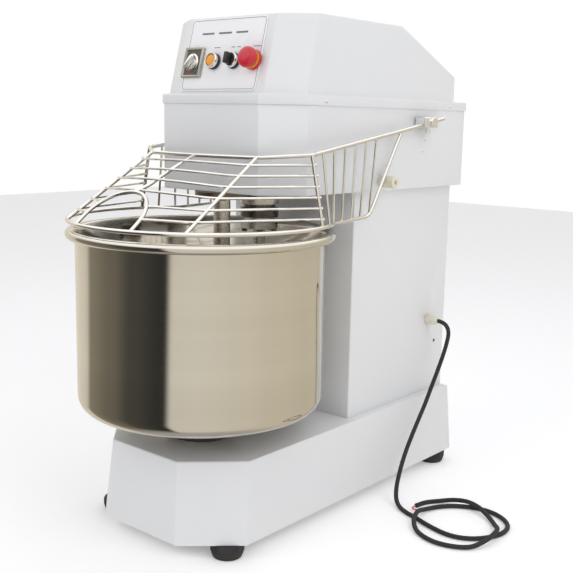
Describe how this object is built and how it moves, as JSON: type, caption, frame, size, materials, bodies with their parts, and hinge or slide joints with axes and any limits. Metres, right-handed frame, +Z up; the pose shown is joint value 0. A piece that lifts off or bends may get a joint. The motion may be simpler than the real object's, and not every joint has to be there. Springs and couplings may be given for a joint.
{
  "type": "spiral dough mixer",
  "caption": "Floor-standing spiral dough mixer: white sheet body, turning steel bowl, spiral hook, fixed breaker bar, hinged wire guard, sloping control panel, loose supply cord.",
  "frame": {"origin": "on the floor, under the middle of the machine's length and width, measured without the supply cord", "axes": "+Z up, -Y towards the bowl and the control panel at the front, +X towards the side that the supply cord leaves"},
  "size_m": [0.7615, 0.9128, 0.9964],
  "materials": {
    "paint": "near-white powder coat, satin, with a fine texture",
    "stainless": "brushed and polished stainless steel",
    "bright_steel": "bright plated steel",
    "dark_steel": "machined steel, oiled and brown",
    "cast_iron": "dark enamelled cast iron",
    "timer_frame": "brushed metal frame round a dark grey face",
    "rubber": "black moulded rubber, matt",
    "cream_plastic": "cream nylon",
    "black_plastic": "black moulded plastic",
    "red_plastic": "glossy red plastic",
    "orange_plastic": "orange plastic lens",
    "label_film": "white film with a thin grey border",
    "cord_jacket": "black rubber jacket",
    "red_insulation": "pink-red wire insulation"
  },
  "bodies": {
    "machine": {"base_shell": "paint", "base_frame": "cast_iron", "foot_front_right": "rubber", "foot_front_left": "rubber", "foot_rear_right": "rubber", "foot_rear_left": "rubber", "column_shell": "paint", "rear_panel": "paint", "head_shell": "paint", "top_cover": "paint", "bowl_housing": "cast_iron", "breaker_bar": "stainless", "breaker_bar_flange": "dark_steel", "spindle_housing": "stainless", "belt_spindle": "rubber", "belt_motor": "rubber", "drive_plate": "cast_iron", "motor": "cast_iron", "counter_bearing": "cast_iron", "bowl_reducer": "cast_iron", "bowl_chain": "dark_steel", "control_box": "cream_plastic", "bumper_right": "cream_plastic", "bumper_left": "cream_plastic", "guard_switch": "black_plastic", "label_plate": "label_film", "timer_plate": "timer_frame", "button_collar": "black_plastic", "button_bezel": "bright_steel", "selector_collar": "black_plastic", "selector_bezel": "bright_steel", "estop_collar": "red_plastic", "cord_gland": "cream_plastic", "cord": "cord_jacket", "cord_conductor": "red_insulation"},
    "bowl": {"bowl": "stainless", "bowl_shaft": "dark_steel", "bowl_sprocket": "dark_steel"},
    "hook": {"hook": "stainless", "spindle": "dark_steel", "spindle_pulley": "cast_iron"},
    "countershaft": {"countershaft": "dark_steel", "counter_pulleys": "cast_iron"},
    "reducer_output": {"reducer_sprocket": "dark_steel"},
    "motor_rotor": {"motor_pulley": "cast_iron"},
    "guard": {"guard_front": "stainless", "guard_side_right": "stainless", "guard_side_left": "stainless", "guard_arm_right": "stainless", "guard_arm_left": "stainless", "guard_block_right": "bright_steel", "guard_block_left": "bright_steel", "guard_clamp_screw_right": "dark_steel", "guard_clamp_screw_left": "dark_steel", "guard_pivot_shaft": "bright_steel"},
    "timer_knob": {"timer_knob": "bright_steel"},
    "push_button": {"push_button": "orange_plastic"},
    "selector_knob": {"selector_knob": "black_plastic"},
    "estop_stem": {"estop_stem": "black_plastic"},
    "estop_mushroom": {"estop_mushroom": "red_plastic"}
  },
  "joints": [
    {"name": "bowl_spin", "type": "hinge", "parent": "machine", "child": "bowl", "pos_m": [0, -0.1968, 0.244], "axis": [0, 0, 1], "continuous": true},
    {"name": "hook_spin", "type": "hinge", "parent": "machine", "child": "hook", "pos_m": [0, -0.0328, 0.64], "axis": [0, 0, 1], "continuous": true},
    {"name": "countershaft_spin", "type": "hinge", "parent": "machine", "child": "countershaft", "pos_m": [0, 0.1732, 0.65], "axis": [0, 0, 1], "continuous": true},
    {"name": "reducer_spin", "type": "hinge", "parent": "machine", "child": "reducer_output", "pos_m": [0, 0.1732, 0.098], "axis": [0, 0, 1], "continuous": true},
    {"name": "motor_spin", "type": "hinge", "parent": "machine", "child": "motor_rotor", "pos_m": [0, 0.3432, 0.7], "axis": [0, 0, 1], "continuous": true},
    {"name": "guard_lift", "type": "hinge", "parent": "machine", "child": "guard", "pos_m": [0, 0.2732, 0.806], "axis": [-1, 0, 0], "range_deg": [0, 65]},
    {"name": "timer_turn", "type": "hinge", "parent": "machine", "child": "timer_knob", "pos_m": [-0.0767, -0.14322, 0.90785], "axis": [0, 0.9681, -0.2506], "range_deg": [0, 300]},
    {"name": "button_press", "type": "slide", "parent": "machine", "child": "push_button", "axis": [0, 0.9681, -0.2506], "range_m": [0, 0.003], "stiffness_N_per_m": 600, "springref_m": -0.002},
    {"name": "selector_turn", "type": "hinge", "parent": "machine", "child": "selector_knob", "pos_m": [0.0315, -0.14284, 0.90931], "axis": [0, 0.9681, -0.2506], "range_deg": [-45, 45]},
    {"name": "estop_press", "type": "slide", "parent": "machine", "child": "estop_stem", "axis": [0, 0.9681, -0.2506], "range_m": [0, 0.004]},
    {"name": "estop_twist", "type": "hinge", "parent": "estop_stem", "child": "estop_mushroom", "pos_m": [0.0835, -0.14284, 0.90931], "axis": [0, 0.9681, -0.2506], "range_deg": [0, 30], "stiffness_Nm_per_rad": 0.2, "springref_deg": -5.73}
  ],
  "couplings": [
    {"joint": "hook_spin", "follows": "bowl_spin", "ratio": 9.6},
    {"joint": "countershaft_spin", "follows": "bowl_spin", "ratio": 19.2},
    {"joint": "reducer_spin", "follows": "bowl_spin", "ratio": 4},
    {"joint": "motor_spin", "follows": "bowl_spin", "ratio": 28.8}
  ]
}
